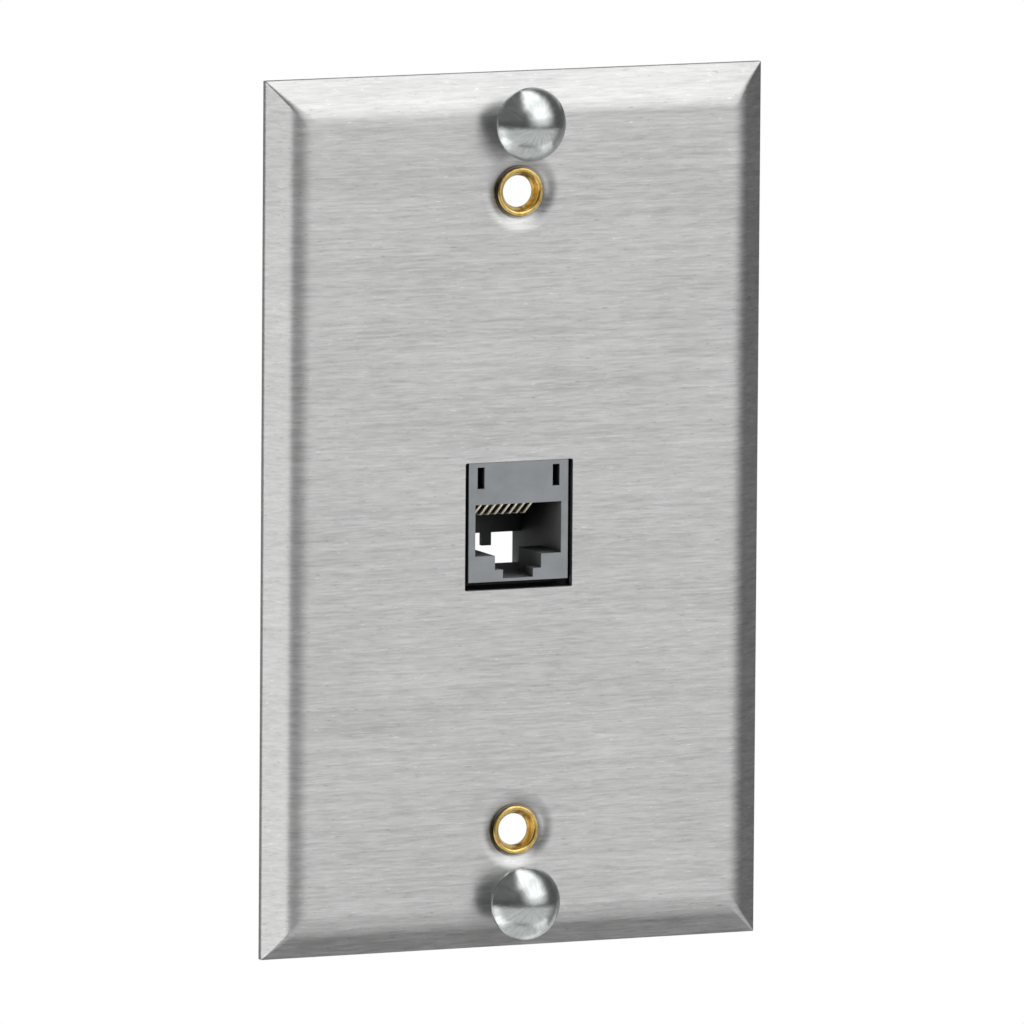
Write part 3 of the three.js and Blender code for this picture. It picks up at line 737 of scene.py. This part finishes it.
def studio_floor():
    """A wide pale floor below the plate. Only a camera above it sees it, and the world lights the plate from
    below."""
    bm = bmesh.new()
    bmesh.ops.create_grid(bm, x_segments=8, y_segments=8, size=FLOOR_SIZE * MM)
    floor = finish_mesh(bm, "studio_floor")
    floor.location.z = (plate_low.z - FLOOR_DROP) * MM
    made = bpy.data.materials.new("studio_floor")
    made.use_nodes = True
    tree = Tree(made.node_tree)
    underside = tree.add("ShaderNodeNewGeometry").outputs["Backfacing"]
    lit = tree.add("ShaderNodeEmission", Color=WHITE, Strength=1.0)
    clear = tree.add("ShaderNodeBsdfTransparent")
    seen = tree.add("ShaderNodeMixShader", Fac=underside, **{"1": lit.outputs[0], "2": clear.outputs[0]})
    tree.add("ShaderNodeOutputMaterial", Surface=seen.outputs[0])
    floor.data.materials.append(made)
    floor.visible_diffuse = False
    floor.visible_glossy = False
    floor.visible_transmission = False
    floor.visible_shadow = False


# Soft lights that the metal mirrors, as (strength, azimuth from and to, elevation from and to, softness
# across, softness up). The last two meet behind the plate.
SOFTBOXES = [
    (0.80, (9, 56), (-6, 8), 36, 6),
    (1.62, (6, 58), (8, 31), 36, 8),
    (1.32, (-12, 66), (31, 50), 28, 10),
    (1.60, (-12, 66), (50, 120), 24, 10),
    (0.50, (-86, -60), (-62, -10), 16, 6),
    (0.56, (-120, 84), (-52, -12), 50, 6),
    (0.55, (105, 146), (-70, 80), 14, 20),
    (0.55, (-146, -105), (-70, 80), 14, 20),
    (0.80, (166, 500), (-60, 80), 20, 20),
    (0.80, (-500, -166), (-60, 80), 20, 20),
]

# What the metal mirrors between the soft lights, and the even light on whatever is matt.
DARK = 0.10
AMBIENT = 0.32


def studio_world():
    """Soft light by direction, as mirrored in the metal, and an even light for whatever is matt. Azimuth 0 is
    straight out of the plate and grows to the right, elevation grows upwards, and both are in degrees."""
    world = bpy.data.worlds.new("studio")
    bpy.context.scene.world = world
    world.use_nodes = True
    tree = Tree(world.node_tree)
    way = tree.add("ShaderNodeSeparateXYZ", Vector=tree.add("ShaderNodeTexCoord").outputs["Generated"])
    out = tree.math("MULTIPLY", way.outputs["Y"], -1.0)
    azimuth = tree.math("DEGREES", tree.math("ARCTAN2", way.outputs["X"], out))
    elevation = tree.math("DEGREES", tree.math("ARCSINE", way.outputs["Z"]))
    total = DARK
    for strength, across, up, soft_across, soft_up in SOFTBOXES:
        shape = tree.math(
            "MULTIPLY",
            tree.between(azimuth, *across, soft_across),
            tree.between(elevation, *up, soft_up),
        )
        total = tree.math("MULTIPLY_ADD", shape, strength, total)
    path = tree.add("ShaderNodeLightPath")
    level = tree.add("ShaderNodeMix", Factor=path.outputs["Is Diffuse Ray"], **{"2": total, "3": AMBIENT})
    lit = tree.add("ShaderNodeBackground", Color=WHITE, Strength=level.outputs[0])
    seen = tree.add("ShaderNodeBackground", Color=WHITE, Strength=1.0)
    camera_ray = path.outputs["Is Camera Ray"]
    mix = tree.add("ShaderNodeMixShader", Fac=camera_ray, **{"1": lit.outputs[0], "2": seen.outputs[0]})
    tree.add("ShaderNodeOutputWorld", Surface=mix.outputs[0])


def towards(azimuth, elevation):
    """The direction out of the plate at an azimuth and an elevation in degrees."""
    a = math.radians(azimuth)
    e = math.radians(elevation)
    return Vector((math.sin(a) * math.cos(e), -math.cos(a) * math.cos(e), math.sin(e)))


def area_light(name, data, way, focus, distance):
    """Adds an area light that faces focus from this way off and this far."""
    made = bpy.data.objects.new(name, data)
    bpy.context.scene.collection.objects.link(made)
    made.location = (focus + way * distance) * MM
    made.rotation_euler = way.to_track_quat("Z", "Y").to_euler()
    made.visible_camera = False
    return made


# Lamps for matt surfaces, as (name, azimuth, elevation, size, irradiance).
LAMPS = [
    ("key", 14, 16, 330, 1.7),
    ("bounce", 12, -28, 330, 0.7),
    ("side", 47, -6, 160, 0.5),
    ("rear_left", 215, 25, 330, 1.3),
    ("rear_right", 150, 10, 330, 0.8),
]
LAMP_DISTANCE = 700.0


def lamp(name, azimuth, elevation, size, irradiance):
    """A soft square lamp. It lights matt surfaces and isn't mirrored in the metal."""
    data = bpy.data.lights.new(name, "AREA")
    data.size = size * MM
    data.energy = irradiance * math.pi * (LAMP_DISTANCE * MM) ** 2
    made = area_light(name, data, towards(azimuth, elevation), PLATE_FOCUS, LAMP_DISTANCE)
    made.visible_glossy = False


# Panels for some pieces only, as (name, pieces, azimuth from and to, elevation from and to, radiance). They
# brighten the plate's left slope, the studs' lower halves and left flanks, and the contact wires.
PANELS = [
    ("left_panel", [plate], (-60, -30), (-58, -6), 1.42),
    ("low_panel", studs, (-50, 60), (-105, -58), 0.55),
    ("flank_panel", studs, (-110, -16), (6, 70), 0.07),
    ("gold_panel", contacts, (-10, 60), (-60, 0), 5.0),
]
PANEL_DISTANCE = 3000.0


def panel(name, pieces, across, up, radiance):
    """A bright panel that lights some pieces only, from one azimuth and elevation to another."""
    width, height = (2 * PANEL_DISTANCE * MM * math.tan(math.radians(b - a) / 2) for a, b in (across, up))
    data = bpy.data.lights.new(name, "AREA")
    data.shape = "RECTANGLE"
    data.size = width
    data.size_y = height
    data.energy = radiance * math.pi * width * height
    lit = bpy.data.collections.new(name)
    for piece in pieces:
        lit.objects.link(piece)
    way = towards(sum(across) / 2, sum(up) / 2)
    made = area_light(name, data, way, Vector(), PANEL_DISTANCE)
    made.light_linking.receiver_collection = lit


# The photo's viewing angle in degrees, and the camera's distance, lens, sensor, farthest view and aim.
AZIMUTH = -23.62
ELEVATION = 7.555
ROLL = 0.417
DISTANCE = 2613.0
LENS = 708.8
SENSOR = 36.0
SEES_TO = 100_000.0
AIM_RIGHT = 0.363
AIM_UP = -0.402


def studio_camera():
    """The camera at the photo's viewing angle."""
    a = math.radians(AZIMUTH)
    roll = math.radians(ROLL)
    back = towards(AZIMUTH, ELEVATION)
    level = Vector((math.cos(a), math.sin(a), 0))
    rise = back.cross(level)
    right = level * math.cos(roll) + rise * math.sin(roll)
    up = rise * math.cos(roll) - level * math.sin(roll)
    data = bpy.data.cameras.new("camera")
    data.lens = LENS
    data.sensor_width = SENSOR
    data.clip_end = SEES_TO * MM
    camera = bpy.data.objects.new("camera", data)
    bpy.context.scene.collection.objects.link(camera)
    place = (PLATE_FOCUS + back * DISTANCE + right * AIM_RIGHT + up * AIM_UP) * MM
    turn = Matrix((right, up, back)).transposed().to_4x4()
    camera.matrix_world = Matrix.Translation(place) @ turn
    bpy.context.scene.camera = camera


studio_floor()
studio_world()
for row in LAMPS:
    lamp(*row)
for row in PANELS:
    panel(*row)
studio_camera()
bpy.context.scene.view_settings.view_transform = "Standard"
